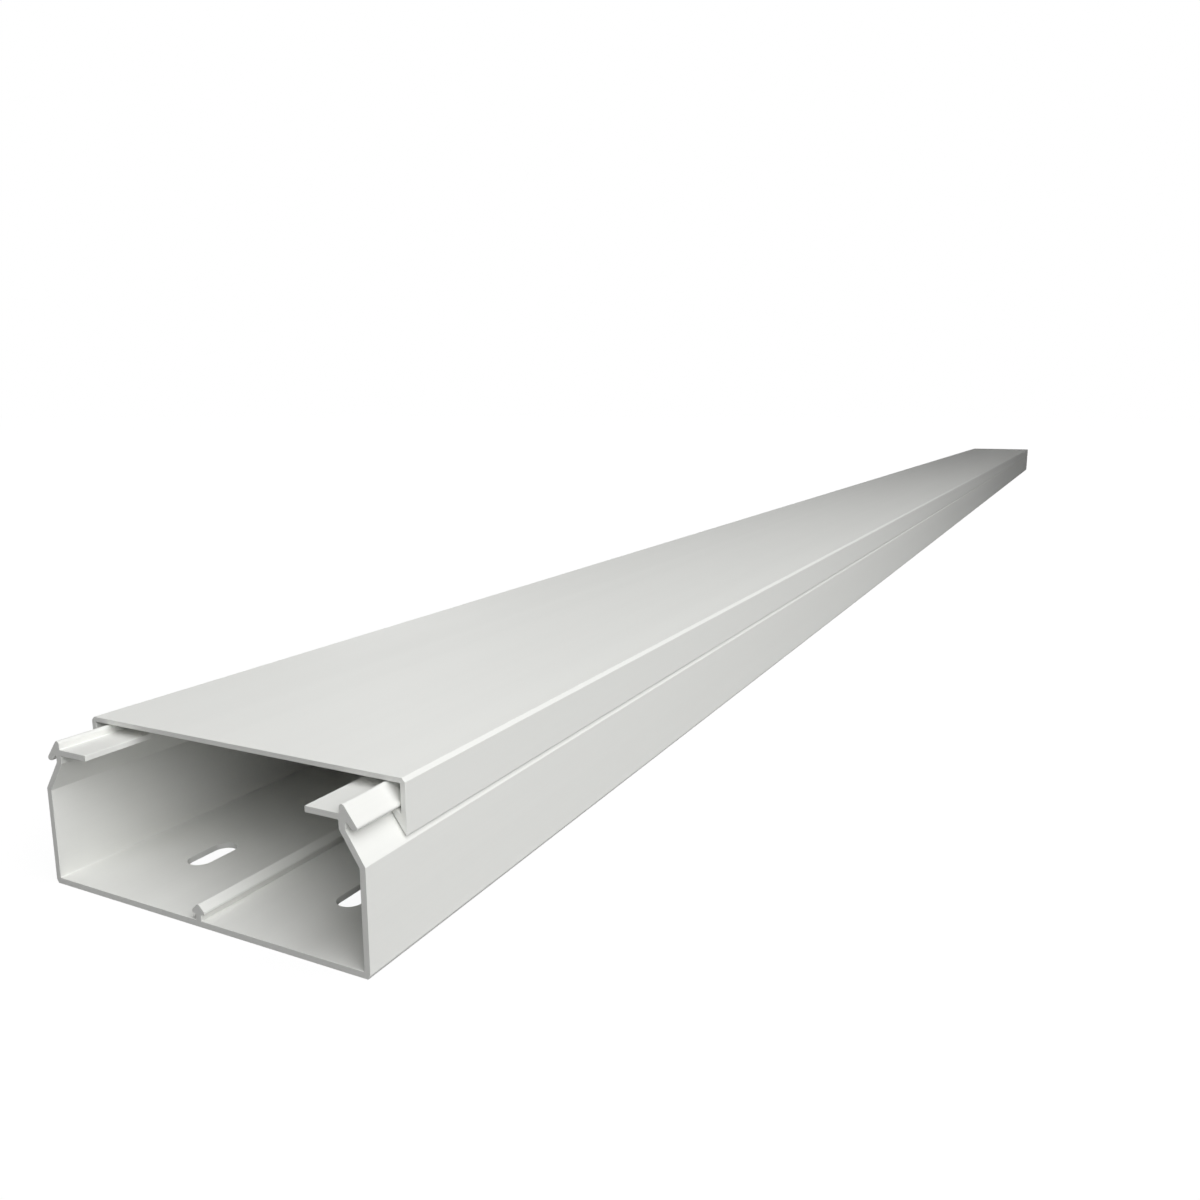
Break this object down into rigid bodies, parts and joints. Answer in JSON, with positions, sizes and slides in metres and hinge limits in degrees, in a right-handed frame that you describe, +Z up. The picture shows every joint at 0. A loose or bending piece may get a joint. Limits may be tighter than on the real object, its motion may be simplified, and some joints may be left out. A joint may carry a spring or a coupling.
{
  "type": "cable trunking",
  "caption": "Straight length of rectangular plastic cable trunking: a slotted channel with inward flanges and a floor rib, closed by a snap-fit lid.",
  "frame": {"origin": "middle of the underside of the channel, halfway along its length", "axes": "+X across the width, +Y along the length away from the end where the lid is set back, +Z up from the fixing face to the lid"},
  "size_m": [0.1, 2, 0.04],
  "materials": {
    "base_pvc": "satin",
    "lid_pvc": "satin"
  },
  "bodies": {
    "base": {"base": "base_pvc"},
    "lid": {"lid": "lid_pvc"}
  },
  "joints": [
    {"name": "lid_slide", "type": "slide", "parent": "base", "child": "lid", "axis": [0, 1, 0], "range_m": [-0.014, 1.99]}
  ]
}
